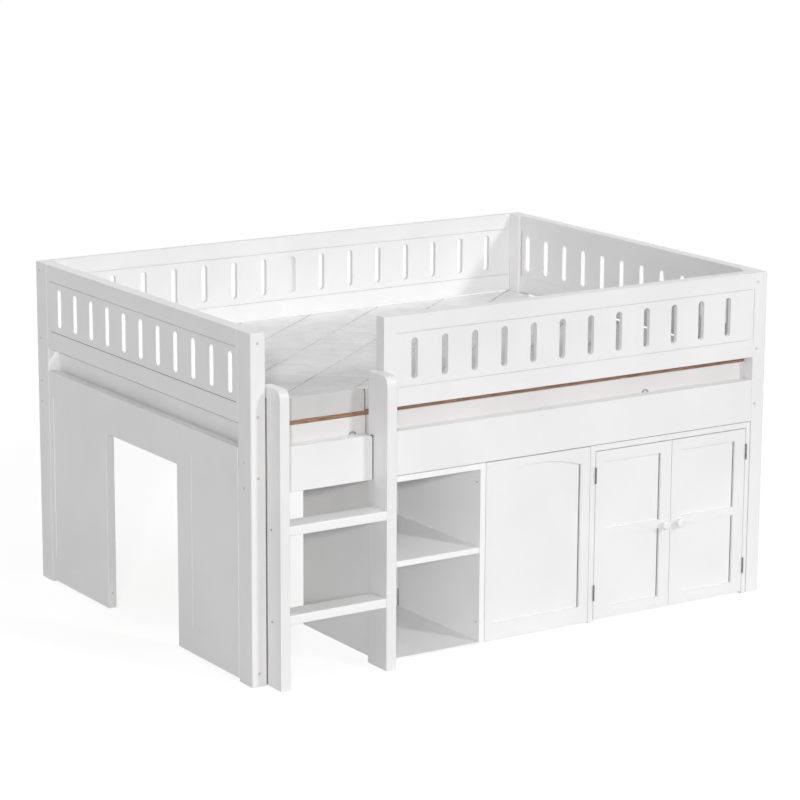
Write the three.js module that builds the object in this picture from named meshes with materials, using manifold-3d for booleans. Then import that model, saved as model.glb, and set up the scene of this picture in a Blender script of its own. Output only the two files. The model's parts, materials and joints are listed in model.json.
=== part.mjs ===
// Low loft bed with a rolling desk, a bookcase and a two-door cabinet under it.
// Millimetres, +Z up. X runs right along the front, Y runs to the back.
// Pieces are placed from the front left foot, and the whole group is then centred.
import * as THREE from 'three';
import { mergeVertices } from 'three/addons/utils/BufferGeometryUtils.js';
import Module from 'manifold-3d';

const wasm = await Module();
wasm.setup();

// ---------- driving dimensions ----------
const bedLength = 2005;
const bedDepth = 1460;
const bedHeight = 1115;
const runningGap = 2;          // between a moving piece and its neighbour
const seatGap = 0.3;           // between faces that are cut round each other

const postWidth = 53;
const postDepth = 82;
const postRound = 6;

const guardHeight = 288;
const guardThickness = 44;
const backGuardThickness = 26;
const guardTopRail = 55;
const guardBottomRail = 61;
const guardEndStile = 41;      // at the front guard's free end
const guardPostStile = 10;     // beside a post
const endGuardBackStile = 20;
const endGuardFrontStile = 5;
const backStileWidth = 48;     // behind the middle of the back guard
const guardPanel = 15;
const endGuardPanel = 40;
const guardReveal = 3;         // between the front guard's panel and its post
const guardRevealDepth = 9;
const slotWidth = 24;
const slotLength = 131;
const slotLift = 22;           // above the bottom rail
const frontSlots = 12;
const frontSlotMargin = 113.75;  // from each end to the first slot
const backSlots = 15;
const backSlotMargin = 106;
const endSlots = 11;
const endSlotBackMargin = 94;  // at the left end's back post
const endSlotFrontMargin = 42;
const grooveWidth = 2.4;
const grooveDepth = 4;

const handGap = 79;            // between the aprons and the guards
const apronHeight = 143;
const apronThickness = 44;
const apronRound = 12;
const apronEndGap = 4;         // from the ladder bay apron to the right stile

const railDrop = 23;           // from the guards' undersides to the rails
const railHeight = 140;
const railThickness = 32;
const endRailHeight = 136;
const endRailThickness = 24;

const battenHeight = 14;
const battenWidth = 14;
const retainerHeight = 70;
const retainerThickness = 16;
const retainerRound = 10;
const retainerEndGap = 6;      // from the bay retainer to the right stile

const slatCount = 16;
const slatWidth = 90;
const slatThickness = 14;
const slatClearance = 1;       // round the slat deck
const padThickness = 8;
const padClearance = 2;        // from the pad to the posts, retainers and back guard
const padRound = 25;
const beamWidth = 45;
const beamHeight = 60;
const beamBite = 1;            // how far the beam is let into the slats
const centreLegWidth = 45;
const leftLegClearance = 175.5;   // from the desk to the legs under the beam
const rightLegClearance = 36.5;

const endPanelThickness = 30;
const endPanelLift = 10;
const doorwayWidth = 488;
const doorwayHead = 136;       // from the doorway to the panel's top
const doorwayFromPost = 390;
const endFieldStile = 92;      // between the doorway and the front field
const endFieldMargin = 30;     // each side of the rear field
const endFieldPostMargin = 5;  // between the front post and the front field
const endFieldBottom = 95;
const endFieldHead = 86;       // from the fields to the panel's top
const endFieldDepth = 4;

const stileThickness = 37;
const stileReach = 79;         // in front of the posts
const stileBack = 31;          // behind the front of the posts
const stileRise = 120;         // over the guards' undersides
const stileRound = 34;
const ladderBay = 423;         // clear width between the post and the front guard
const treadThickness = 30;
const treadTops = [239, 521];
const treadDepth = 79;

const unitDepth = 488;
const unitGap = 2;             // under the aprons
const sideThickness = 20;
const unitTopBoard = 19;
const unitFloorLift = 9;
const unitFloor = 18;
const bookcaseFloorLift = 2;   // a thin board, just off the ground
const bookcaseFloor = 6;
const unitBack = 5;
const bookcaseWidth = 388;
const shelfTop = 324;
const shelfThickness = 19;
const shelfSetback = 6;

const cabinetWidth = 672;
const doorThickness = 19;
const doorGap = 2.5;
const doorBottom = 9;
const doorRail = 38;
const doorMidRail = 29;
const doorMidHeight = 285;
const doorStile = 43;
const doorFieldDepth = 9;
const knobHeight = 297;
const knobInset = 29;          // from the door's free edge
const knobRadius = 16.5;
const knobReach = 29;
const knobNeck = 7;
const hingeRadius = 3;
const hingeLength = 54;
const hingeLeaf = 1.2;
const doorLeaf = 1;
const leafSetback = 2;         // from the door's inside to the leaves
const hingeStandOff = 0.5;     // from the door's face to the barrel
const hingeLift = 66;          // from the door's bottom to the lower hinge
const hingeDrop = 52.5;        // from the door's top to the upper hinge

const deskLength = 1000;
const deskGap = 5;             // from the desk top to the apron
const deskPanelLip = 2;        // the end panel over the desk top
const deskTopThickness = 22;
const deskPanelThickness = 22;
const deskPanelLift = 5;
const revealWidth = 4;         // where a recessed field meets its stiles
const revealDepth = 6;         // beyond the field
const deskStile = 35;
const deskBottomRail = 57;
const deskArchDrop = 55;       // from the panel's top to where the arch springs
const deskArchRise = 29;
const deskFieldDepth = 9;
const stretcherHeight = 170;
const stretcherThickness = 19;

const wheelRadius = 25;
const wheelWidth = 18;
const axleRadius = 4;
const axleClearance = 0.4;
const forkCheek = 2.5;
const forkSide = 2;            // between a cheek and the wheel
const forkPlate = 3;
const forkPlateHeight = 58;
const forkPlateWidth = 46;
const forkPlateDrop = 10;      // below the axle
const forkNose = 9;            // in front of the axle
const forkHead = 12;           // above the axle, at the nose
const forkHeel = 26;           // above the axle, at the plate
const axleHead = 1.5;          // out of each cheek
const wheelFromPlate = 30;
const casterInset = 60;

// ---------- places worked out from them ----------
const guardBottom = bedHeight - guardHeight;
const railFront = guardThickness;
const backPostFront = bedDepth - postDepth;
const rightPostLeft = bedLength - postWidth;
const ladderLeft = postWidth;
const guardLeft = postWidth + ladderBay;
const apronTop = guardBottom - handGap;
const apronBottom = apronTop - apronHeight;
const railTop = guardBottom - railDrop;
const doorwayTop = apronTop - doorwayHead;
const endFieldTop = apronTop - endFieldHead;
const stileTop = guardBottom + stileRise;
const unitTop = apronBottom - unitGap;
const doorTop = unitTop - unitTopBoard - doorGap;
const hingeLows = [doorBottom + hingeLift, doorTop - hingeDrop - hingeLength];
const deskTop = apronBottom - deskGap;
const deskPanelTop = deskTop + deskPanelLip;
const deskArchSpring = deskPanelTop - deskArchDrop;
const bookcaseLeft = guardLeft;
const bookcaseRight = bookcaseLeft + bookcaseWidth;
const cabinetRight = rightPostLeft;
const cabinetLeft = cabinetRight - cabinetWidth;
const deskLeft = bookcaseRight + runningGap;
const deskRight = cabinetLeft - runningGap;
const slatTop = railTop + slatThickness;
const middleX = bedLength / 2;
const middleY = bedDepth / 2;

// ---------- finishes ----------
const white = { color: 0xefedeb, roughness: 0.42, metalness: 0 };
const quilting = { color: 0xe9e7e6, roughness: 0.9, metalness: 0 };
const pine = { color: 0xc79a6b, roughness: 0.6, metalness: 0 };
const steel = { color: 0x5b5a58, roughness: 0.38, metalness: 0.9 };
const zinc = { color: 0xb9bcc0, roughness: 0.35, metalness: 0.9 };
const rubber = { color: 0x2f3032, roughness: 0.75, metalness: 0 };

const bed = new THREE.Group();

function addPiece(name, geometry, finish) {
  const material = new THREE.MeshStandardMaterial(finish);
  const mesh = new THREE.Mesh(geometry, material);
  mesh.name = name;
  bed.add(mesh);
  return mesh;
}

// ---------- joining and cutting ----------
function solidOf(geometry) {
  const bare = geometry.clone();
  bare.deleteAttribute('normal');
  bare.deleteAttribute('uv');
  const merged = mergeVertices(bare, 1e-4);
  const vertProperties = merged.attributes.position.array;
  const triVerts = new Uint32Array(merged.index.array);
  return new wasm.Manifold(new wasm.Mesh({ numProp: 3, vertProperties, triVerts }));
}

function geometryOf(solid) {
  const mesh = solid.getMesh();
  const geometry = new THREE.BufferGeometry();
  geometry.setAttribute('position', new THREE.BufferAttribute(mesh.vertProperties, 3));
  geometry.setIndex(new THREE.BufferAttribute(mesh.triVerts, 1));
  const flat = geometry.toNonIndexed();
  flat.computeVertexNormals();
  return flat;
}

function cut(base, cutters) {
  let solid = solidOf(base);
  for (const cutter of cutters) {
    solid = solid.subtract(solidOf(cutter));
  }
  return geometryOf(solid);
}

function join(pieces) {
  let solid = solidOf(pieces[0]);
  for (const piece of pieces.slice(1)) {
    solid = solid.add(solidOf(piece));
  }
  return geometryOf(solid);
}

// ---------- basic shapes ----------
// A board between two corners.
function board(x0, x1, y0, y1, z0, z1) {
  const box = new THREE.BoxGeometry(x1 - x0, y1 - y0, z1 - z0);
  return box.translate((x0 + x1) / 2, (y0 + y1) / 2, (z0 + z1) / 2);
}

// An outline of corners [a, b, radius], each rounded by its own radius.
function outline(corners) {
  const shape = new THREE.Shape();
  const last = corners.length;
  corners.forEach(([a, b, radius], i) => {
    const corner = new THREE.Vector2(a, b);
    const before = new THREE.Vector2(...corners[(i + last - 1) % last]);
    const after = new THREE.Vector2(...corners[(i + 1) % last]);
    const start = before.sub(corner).setLength(radius || 0).add(corner);
    const end = after.sub(corner).setLength(radius || 0).add(corner);
    if (i === 0) shape.moveTo(start.x, start.y);
    else shape.lineTo(start.x, start.y);
    if (radius) shape.quadraticCurveTo(a, b, end.x, end.y);
  });
  shape.closePath();
  return shape;
}

function rectangle(a0, a1, b0, b1, radius = 0) {
  return outline([[a0, b0, radius], [a1, b0, radius], [a1, b1, radius], [a0, b1, radius]]);
}

// An outline seen from the front (X, Z), given a thickness from y0 to y1.
function frontPanel(shape, y0, y1, curveSegments = 6) {
  const options = { depth: y1 - y0, bevelEnabled: false, curveSegments };
  const solid = new THREE.ExtrudeGeometry(shape, options);
  return solid.rotateX(Math.PI / 2).translate(0, y1, 0);
}

// An outline seen from the right end (Y, Z), given a thickness from x0 to x1.
function endPanel(shape, x0, x1, curveSegments = 6) {
  const options = { depth: x1 - x0, bevelEnabled: false, curveSegments };
  const solid = new THREE.ExtrudeGeometry(shape, options);
  const turn = new THREE.Matrix4().makeBasis(
    new THREE.Vector3(0, 1, 0), new THREE.Vector3(0, 0, 1), new THREE.Vector3(1, 0, 0));
  return solid.applyMatrix4(turn).translate(x0, 0, 0);
}

// An outline seen from above (X, Y), raised from z0 to z1.
function upright(shape, z0, z1, curveSegments = 4) {
  const options = { depth: z1 - z0, bevelEnabled: false, curveSegments };
  return new THREE.ExtrudeGeometry(shape, options).translate(0, 0, z0);
}

function rod(radius, length, segments) {
  return new THREE.CylinderGeometry(radius, radius, length, segments);
}

// The half turn about the middle of the bed that carries the left end to the right end.
function toRightEnd(geometry) {
  return geometry.translate(-middleX, -middleY, 0).rotateZ(Math.PI).translate(middleX, middleY, 0);
}

// ---------- posts ----------
function addPosts() {
  for (const [side, x] of [['left', 0], ['right', rightPostLeft]]) {
    for (const [row, y] of [['front', 0], ['back', backPostFront]]) {
      const section = rectangle(x, x + postWidth, y, y + postDepth, postRound);
      addPiece(`post_${row}_${side}`, upright(section, 0, bedHeight), white);
    }
  }
}

// ---------- guards ----------
// A slotted panel in a frame, drawn lying along X with its face at y = 0.
function guardGeometry(length, thickness, panel, slotCentres, stiles, extraCutters = []) {
  const panelBottom = guardBottomRail;
  const panelTop = guardHeight - guardTopRail;
  const panelLeft = stiles[0];
  const panelRight = length - stiles[1];
  const cutters = [
    board(panelLeft, panelRight, panel, thickness + 1, panelBottom, panelTop), ...extraCutters,
  ];
  for (const edge of [panelBottom, panelTop]) {
    const half = grooveWidth / 2;
    cutters.push(board(panelLeft, panelRight, -1, grooveDepth, edge - half, edge + half));
  }
  const slotBottom = panelBottom + slotLift;
  for (const centre of slotCentres) {
    const half = slotWidth / 2;
    const slot = new THREE.Shape();
    slot.absarc(centre, slotBottom + slotLength - half, half, 0, Math.PI);
    slot.absarc(centre, slotBottom + half, half, Math.PI, 2 * Math.PI);
    slot.closePath();
    cutters.push(frontPanel(slot, -1, thickness + 1, 5));
  }
  return cut(board(0, length, 0, thickness, 0, guardHeight), cutters);
}

// The middles of a row of slots, spread evenly between two margins.
function slotRow(count, first, length, last) {
  const pitch = (length - first - last) / (count - 1);
  return Array.from({ length: count }, (_, i) => first + i * pitch);
}

function addGuards() {
  const frontLength = rightPostLeft - guardLeft;
  const frontRow = slotRow(frontSlots, frontSlotMargin, frontLength, frontSlotMargin);
  const frontStiles = [guardEndStile, guardPostStile];
  const frontPanelTop = guardHeight - guardTopRail;
  const revealLeft = frontLength - guardReveal;
  const reveal = board(revealLeft, frontLength + 1, -1, guardRevealDepth, guardBottomRail, frontPanelTop);
  const front = guardGeometry(frontLength, guardThickness, guardPanel, frontRow, frontStiles, [reveal]);
  addPiece('front_guard', front.translate(guardLeft, 0, guardBottom), white);

  const backLength = rightPostLeft - postWidth;
  const backRow = slotRow(backSlots, backSlotMargin, backLength, backSlotMargin);
  const backStiles = [guardPostStile, guardPostStile];
  const back = guardGeometry(backLength, backGuardThickness, guardPanel, backRow, backStiles);
  addPiece('back_guard', back.translate(postWidth, bedDepth - backGuardThickness, guardBottom), white);

  // Each end guard is drawn along X and turned to run along Y with its face outwards.
  const endLength = bedDepth - 2 * postDepth;
  const endRow = slotRow(endSlots, endSlotBackMargin, endLength, endSlotFrontMargin);
  const endStiles = [endGuardBackStile, endGuardFrontStile];
  const left = guardGeometry(endLength, guardThickness, endGuardPanel, endRow, endStiles);
  left.rotateZ(-Math.PI / 2).translate(0, backPostFront, guardBottom);
  addPiece('left_guard', left, white);
  addPiece('right_guard', toRightEnd(left.clone()), white);
}

// The upright behind the middle slot of the back guard, down to the back rail.
function addBackCentreStile() {
  const half = backStileWidth / 2;
  const front = bedDepth - backGuardThickness + guardPanel + seatGap;
  const low = guardBottom + guardBottomRail + seatGap;
  const high = bedHeight - guardTopRail - seatGap;
  const stile = board(middleX - half, middleX + half, front, bedDepth, low, high);
  addPiece('back_guard_stile', stile, white);
}

// ---------- rails and aprons ----------
function addRails() {
  const low = railTop - railHeight;
  const back = bedDepth - railFront;
  const front = railFront + railThickness;
  addPiece('front_rail', board(postWidth, rightPostLeft, railFront, front, low, railTop), white);
  addPiece('back_rail', board(postWidth, rightPostLeft, back - railThickness, back, low, railTop), white);

  const endLow = railTop - endRailHeight;
  const inner = guardThickness + endRailThickness;
  const left = board(guardThickness, inner, postDepth, backPostFront, endLow, railTop);
  addPiece('left_rail', left, white);
  addPiece('right_rail', toRightEnd(left.clone()), white);
}

function addAprons() {
  const front = rectangle(guardLeft, rightPostLeft, apronBottom, apronTop);
  addPiece('front_apron', frontPanel(front, 0, apronThickness), white);

  const bayLeft = ladderLeft + stileThickness + seatGap;
  const bayRight = guardLeft - stileThickness - apronEndGap;
  const bay = outline([
    [bayLeft, apronBottom, 0], [bayRight, apronBottom, 0],
    [bayRight, apronTop, apronRound], [bayLeft, apronTop, 0],
  ]);
  addPiece('ladder_bay_apron', frontPanel(bay, 0, apronThickness), white);

  const backFront = bedDepth - apronThickness;
  addPiece('back_apron', board(postWidth, rightPostLeft, backFront, bedDepth, apronBottom, apronTop), white);
}

// The low boards that stop the mattress at the front, on a batten along the rail.
function addRetainers() {
  const front = railFront;
  const low = railTop + battenHeight;
  const batten = board(postWidth, rightPostLeft, front, front + battenWidth, railTop, low);
  addPiece('front_slat_batten', batten, pine);

  const high = low + retainerHeight;
  const bayLeft = ladderLeft + stileThickness;
  const bayRight = guardLeft - stileThickness - retainerEndGap;
  const bay = outline([
    [bayLeft, low, 0], [bayRight, low, 0], [bayRight, high, retainerRound], [bayLeft, high, retainerRound],
  ]);
  const back = front + retainerThickness;
  addPiece('ladder_bay_retainer', frontPanel(bay, front, back), white);
  addPiece('front_retainer', board(guardLeft, rightPostLeft, front, back, low, high), white);
}

// ---------- slats ----------
function addSlatDeck() {
  const inner = railFront + retainerThickness + slatClearance;
  const deckLeft = guardThickness + endRailThickness + slatClearance;
  const deckRight = bedLength - deckLeft;
  const pitch = (deckRight - deckLeft - slatWidth) / (slatCount - 1);
  const beamFront = middleY - beamWidth / 2;
  const beamBack = beamFront + beamWidth;
  const beamBottom = railTop - beamHeight;
  const pieces = [board(deckLeft, deckRight, beamFront, beamBack, beamBottom, railTop + beamBite)];
  for (let i = 0; i < slatCount; i += 1) {
    const left = deckLeft + i * pitch;
    pieces.push(board(left, left + slatWidth, inner, bedDepth - inner, railTop, slatTop));
  }
  addPiece('slat_deck', join(pieces), pine);

  const half = centreLegWidth / 2;
  const leftLeg = deskLeft - leftLegClearance - half;
  const rightLeg = deskRight + rightLegClearance + half;
  for (const [side, x] of [['left', leftLeg], ['right', rightLeg]]) {
    const section = rectangle(x - half, x + half, middleY - half, middleY + half, postRound);
    addPiece(`centre_leg_${side}`, upright(section, 0, beamBottom), white);
  }
}

// The thin quilted pad that lies on the slats.
function addDeckPad() {
  const left = postWidth + padClearance;
  const front = railFront + retainerThickness + padClearance;
  const back = bedDepth - backGuardThickness - padClearance;
  const section = rectangle(left, bedLength - left, front, back, padRound);
  const low = slatTop + seatGap;
  addPiece('deck_pad', upright(section, low, low + padThickness), quilting);
}

// ---------- end panels with their doorways ----------
function addEndPanels() {
  const front = postDepth;
  const back = backPostFront;
  const doorFront = front + doorwayFromPost;
  const doorBack = doorFront + doorwayWidth;
  const low = endPanelLift;
  const shape = outline([
    [front, low], [doorFront, low], [doorFront, doorwayTop], [doorBack, doorwayTop], [doorBack, low],
    [back, low], [back, apronTop], [front, apronTop],
  ]);
  const field = (near, far) => board(-1, endFieldDepth, near, far, endFieldBottom, endFieldTop);
  const fields = [
    field(front + endFieldPostMargin, doorFront - endFieldStile),
    field(doorBack + endFieldMargin, back - endFieldMargin),
  ];
  const left = cut(endPanel(shape, 0, endPanelThickness), fields);
  addPiece('left_end_panel', left, white);
  addPiece('right_end_panel', toRightEnd(left.clone()), white);
}

// ---------- ladder ----------
function addLadder() {
  const shape = outline([
    [-stileReach, 0, 0], [stileBack, 0, 0], [stileBack, stileTop, 0], [-stileReach, stileTop, stileRound],
  ]);
  const rightStile = guardLeft - stileThickness;
  addPiece('ladder_stile_left', endPanel(shape, ladderLeft, ladderLeft + stileThickness), white);
  addPiece('ladder_stile_right', endPanel(shape, rightStile, guardLeft), white);
  treadTops.forEach((top, i) => {
    const left = ladderLeft + stileThickness;
    const tread = board(left, rightStile, -stileReach, treadDepth - stileReach, top - treadThickness, top);
    addPiece(`ladder_tread_${i + 1}`, tread, white);
  });
}

// ---------- bookcase ----------
function addBookcase() {
  const left = bookcaseLeft;
  const right = bookcaseRight;
  const innerLeft = left + sideThickness;
  const innerRight = right - sideThickness;
  const back = unitDepth - unitBack;
  const underTop = unitTop - unitTopBoard;
  addPiece('bookcase_side_left', board(left, innerLeft, 0, unitDepth, 0, unitTop), white);
  addPiece('bookcase_side_right', board(innerRight, right, 0, unitDepth, 0, unitTop), white);
  addPiece('bookcase_top', board(innerLeft, innerRight, 0, back, underTop, unitTop), white);
  const underShelf = shelfTop - shelfThickness;
  addPiece('bookcase_shelf', board(innerLeft, innerRight, shelfSetback, back, underShelf, shelfTop), white);
  const low = bookcaseFloorLift;
  addPiece('bookcase_floor', board(innerLeft, innerRight, 0, back, low, low + bookcaseFloor), white);
  addPiece('bookcase_back', board(innerLeft, innerRight, back, unitDepth, low, unitTop), white);
}

// ---------- cabinet ----------
function addCabinet() {
  const innerLeft = cabinetLeft + sideThickness;
  const innerRight = cabinetRight - sideThickness;
  const back = unitDepth - unitBack;
  const underTop = unitTop - unitTopBoard;
  addPiece('cabinet_side_left', board(cabinetLeft, innerLeft, 0, unitDepth, 0, unitTop), white);
  addPiece('cabinet_side_right', board(innerRight, cabinetRight, 0, unitDepth, 0, unitTop), white);
  addPiece('cabinet_top', board(innerLeft, innerRight, 0, back, underTop, unitTop), white);
  const floorFront = doorThickness + doorGap;
  const floorTop = unitFloorLift + unitFloor;
  addPiece('cabinet_floor', board(innerLeft, innerRight, floorFront, back, unitFloorLift, floorTop), white);
  addPiece('cabinet_back', board(innerLeft, innerRight, back, unitDepth, unitFloorLift, unitTop), white);
}

// The narrow reveals at the sides of a recessed field, where its panel slides into the stiles.
function revealsOf(left, right, fieldDepth, low, high) {
  const depth = fieldDepth + revealDepth;
  return [
    board(left, left + revealWidth, -1, depth, low, high),
    board(right - revealWidth, right, -1, depth, low, high),
  ];
}

// A door with two recessed fields, one over the other, and its hinge leaves on one edge.
function doorGeometry(left, right, hingeSide) {
  const fieldLeft = left + doorStile;
  const fieldRight = right - doorStile;
  const lowerField = [doorBottom + doorRail, doorMidHeight];
  const upperField = [doorMidHeight + doorMidRail, doorTop - doorRail];
  const cutters = [];
  for (const [low, high] of [lowerField, upperField]) {
    cutters.push(board(fieldLeft, fieldRight, -1, doorFieldDepth, low, high));
    cutters.push(...revealsOf(fieldLeft, fieldRight, doorFieldDepth, low, high));
  }
  const door = cut(board(left, right, 0, doorThickness, doorBottom, doorTop), cutters);
  const edge = hingeSide < 0 ? left - doorLeaf : right;
  const leaves = hingeLows.map((low) => {
    const back = doorThickness - leafSetback;
    return board(edge, edge + doorLeaf, seatGap - hingeStandOff, back, low, low + hingeLength);
  });
  return join([door, ...leaves]);
}

// A turned knob that stands out of the door's face.
function knobGeometry(x, z) {
  const profile = [
    [0, 0], [knobNeck + 3, 0], [knobNeck, 3], [knobNeck - 1, 9], [knobNeck + 3, 14], [knobRadius - 1, 17],
    [knobRadius, 21], [knobRadius - 3, 25.5], [knobRadius / 2, knobReach - 0.8], [0, knobReach],
  ];
  const points = profile.map(([radius, reach]) => new THREE.Vector2(radius, reach));
  const knob = new THREE.LatheGeometry(points, 24);
  return knob.rotateX(Math.PI).translate(x, 0, z);
}

// A hinge: its barrel in front of the gap, and a leaf on the cabinet side's inner face.
function hingeGeometry(x, z, inward) {
  const barrel = rod(hingeRadius, hingeLength, 16).rotateX(Math.PI / 2);
  barrel.translate(x, -hingeRadius - hingeStandOff, z);
  const near = Math.min(x, x + inward * hingeLeaf);
  const half = hingeLength / 2;
  const back = doorThickness - leafSetback;
  const leaf = board(near, near + hingeLeaf, -hingeRadius, back, z - half, z + half);
  return join([barrel, leaf]);
}

function addDoors() {
  const innerLeft = cabinetLeft + sideThickness;
  const innerRight = cabinetRight - sideThickness;
  const middle = (innerLeft + innerRight) / 2;
  const half = doorGap / 2;
  addPiece('left_door', doorGeometry(innerLeft + doorGap, middle - half, -1), white);
  addPiece('right_door', doorGeometry(middle + half, innerRight - doorGap, 1), white);
  addPiece('left_door_knob', knobGeometry(middle - half - knobInset, knobHeight), white);
  addPiece('right_door_knob', knobGeometry(middle + half + knobInset, knobHeight), white);
  for (const [side, x, inward] of [['left', innerLeft, 1], ['right', innerRight, -1]]) {
    hingeLows.forEach((low, i) => {
      const level = i === 0 ? 'lower' : 'upper';
      const z = low + hingeLength / 2;
      addPiece(`${side}_hinge_${level}`, hingeGeometry(x, z, inward), steel);
    });
  }
}

// ---------- rolling desk ----------
function addDesk() {
  const fieldLeft = deskLeft + deskStile;
  const fieldRight = deskRight - deskStile;
  const field = new THREE.Shape();
  const fieldLow = deskPanelLift + deskBottomRail;
  field.moveTo(fieldLeft, fieldLow);
  field.lineTo(fieldRight, fieldLow);
  field.lineTo(fieldRight, deskArchSpring);
  // The arch is one circle through both springing points and the crown.
  const half = (fieldRight - fieldLeft) / 2;
  const radius = (half * half + deskArchRise * deskArchRise) / (2 * deskArchRise);
  const centre = deskArchSpring + deskArchRise - radius;
  const spread = Math.asin(half / radius);
  field.absarc((fieldLeft + fieldRight) / 2, centre, radius, Math.PI / 2 - spread, Math.PI / 2 + spread);
  field.closePath();
  const slab = board(deskLeft, deskRight, 0, deskPanelThickness, deskPanelLift, deskPanelTop);
  const reveals = revealsOf(fieldLeft, fieldRight, deskFieldDepth, fieldLow, deskArchSpring);
  const arched = cut(slab, [frontPanel(field, -1, deskFieldDepth, 16), ...reveals]);
  addPiece('desk_end_panel', arched, white);

  const behind = deskPanelThickness;
  const underTop = deskTop - deskTopThickness;
  const legFront = deskLength - deskPanelThickness;
  addPiece('desk_top', board(deskLeft, deskRight, behind, deskLength, underTop, deskTop), white);
  const legPanel = board(deskLeft, deskRight, legFront, deskLength, deskPanelLift, underTop);
  addPiece('desk_leg_panel', legPanel, white);
  const stretcherRight = deskLeft + stretcherThickness;
  const stretcher = board(deskLeft, stretcherRight, behind, legFront, underTop - stretcherHeight, underTop);
  addPiece('desk_stretcher', stretcher, white);
}

// A caster fork bolted to a panel's face, holding its wheel away from it along "away".
function forkGeometry(x, plateFace, away) {
  const plateFar = plateFace + away * forkPlate;
  const axleY = plateFace + away * wheelFromPlate;
  const tip = axleY + away * forkNose;
  const [plateLow, plateHigh] = [plateFace, plateFar].sort((a, b) => a - b);
  const [cheekLow, cheekHigh] = [plateFace, tip].sort((a, b) => a - b);
  const inside = wheelWidth / 2 + forkSide;
  const half = forkPlateWidth / 2;
  const plateBottom = wheelRadius - forkPlateDrop;
  const plateTop = plateBottom + forkPlateHeight;
  const pieces = [board(x - half, x + half, plateLow, plateHigh, plateBottom, plateTop)];
  for (const sign of [-1, 1]) {
    const near = x + sign * inside;
    const far = near + sign * forkCheek;
    const [low, high] = [near, far].sort((a, b) => a - b);
    const corners = [
      [cheekLow, plateBottom, 4], [cheekHigh, plateBottom, 8],
      [cheekHigh, wheelRadius + forkHead, 8], [cheekLow, wheelRadius + forkHeel, 4],
    ];
    const mirrored = corners.map(([y, z, round]) => [cheekLow + cheekHigh - y, z, round]).reverse();
    const cheek = outline(away > 0 ? corners : mirrored);
    pieces.push(endPanel(cheek, low, high, 4));
  }
  const axleLength = 2 * (inside + forkCheek + axleHead);
  const axle = rod(axleRadius, axleLength, 16).rotateZ(Math.PI / 2);
  pieces.push(axle.translate(x, axleY, wheelRadius));
  return join(pieces);
}

function wheelGeometry(x, y) {
  const half = wheelWidth / 2;
  const bore = axleRadius + axleClearance;
  const profile = [
    [bore, -half - 1], [9, -half - 1], [10, -half + 2], [wheelRadius - 6, -half + 2],
    [wheelRadius - 3, -half], [wheelRadius, -half + 4], [wheelRadius, half - 4],
    [wheelRadius - 3, half], [wheelRadius - 6, half - 2], [10, half - 2], [9, half + 1],
    [bore, half + 1], [bore, -half - 1],
  ];
  const points = profile.map(([radius, along]) => new THREE.Vector2(radius, along));
  return new THREE.LatheGeometry(points, 36).rotateZ(-Math.PI / 2).translate(x, y, wheelRadius);
}

function addCasters() {
  const rows = [
    ['front', deskPanelThickness, 1],
    ['rear', deskLength - deskPanelThickness, -1],
  ];
  const sides = [['left', deskLeft + casterInset], ['right', deskRight - casterInset]];
  for (const [row, face, away] of rows) {
    for (const [side, x] of sides) {
      addPiece(`caster_fork_${row}_${side}`, forkGeometry(x, face, away), zinc);
      addPiece(`caster_wheel_${row}_${side}`, wheelGeometry(x, face + away * wheelFromPlate), rubber);
    }
  }
}

addPosts();
addGuards();
addBackCentreStile();
addRails();
addAprons();
addRetainers();
addSlatDeck();
addDeckPad();
addEndPanels();
addLadder();
addBookcase();
addCabinet();
addDoors();
addDesk();
addCasters();

// The origin is on the floor, under the middle of the bed with its ladder.
bed.position.set(-middleX, -(bedDepth - stileReach) / 2, 0);
const loftBed = new THREE.Group();
loftBed.add(bed);

export default loftBed;
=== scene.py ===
import json
import math

import bmesh
import bpy
from mathutils import Matrix, Vector

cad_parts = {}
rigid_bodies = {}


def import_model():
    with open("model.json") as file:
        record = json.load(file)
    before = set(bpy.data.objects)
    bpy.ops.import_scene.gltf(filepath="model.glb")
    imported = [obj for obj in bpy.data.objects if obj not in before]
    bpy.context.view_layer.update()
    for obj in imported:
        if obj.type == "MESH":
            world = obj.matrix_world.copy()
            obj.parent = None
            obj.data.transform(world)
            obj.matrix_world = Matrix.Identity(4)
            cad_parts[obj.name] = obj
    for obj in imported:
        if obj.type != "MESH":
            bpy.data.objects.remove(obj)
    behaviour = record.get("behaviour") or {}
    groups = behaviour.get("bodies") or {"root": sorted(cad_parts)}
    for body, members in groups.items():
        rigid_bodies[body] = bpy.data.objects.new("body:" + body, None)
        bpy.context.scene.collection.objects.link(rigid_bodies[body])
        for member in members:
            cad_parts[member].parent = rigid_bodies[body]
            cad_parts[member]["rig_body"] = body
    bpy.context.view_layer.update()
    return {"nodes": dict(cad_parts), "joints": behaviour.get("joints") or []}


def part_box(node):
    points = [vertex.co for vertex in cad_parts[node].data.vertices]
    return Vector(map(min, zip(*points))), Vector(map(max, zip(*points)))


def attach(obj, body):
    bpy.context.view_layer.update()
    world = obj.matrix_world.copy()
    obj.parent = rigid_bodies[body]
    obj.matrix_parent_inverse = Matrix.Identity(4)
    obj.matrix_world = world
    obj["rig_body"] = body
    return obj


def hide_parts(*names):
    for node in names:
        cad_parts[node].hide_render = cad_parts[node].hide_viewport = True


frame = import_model()
nodes = frame["nodes"]
print("stage 1: frame loaded with", len(nodes), "solids")

footLow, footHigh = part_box("post_front_left")
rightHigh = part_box("post_front_right")[1]
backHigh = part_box("post_back_left")[1]
bedLength = (rightHigh.x - footLow.x) * 1000


def at(x, y, z):
    # mm from the front left foot to a place in the frame
    return Vector((footLow.x + x / 1000, footLow.y + y / 1000, z / 1000))


def inBed(vector):
    # a place in the frame back to mm
    return (vector.x - footLow.x) * 1000, (vector.y - footLow.y) * 1000, vector.z * 1000


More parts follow.
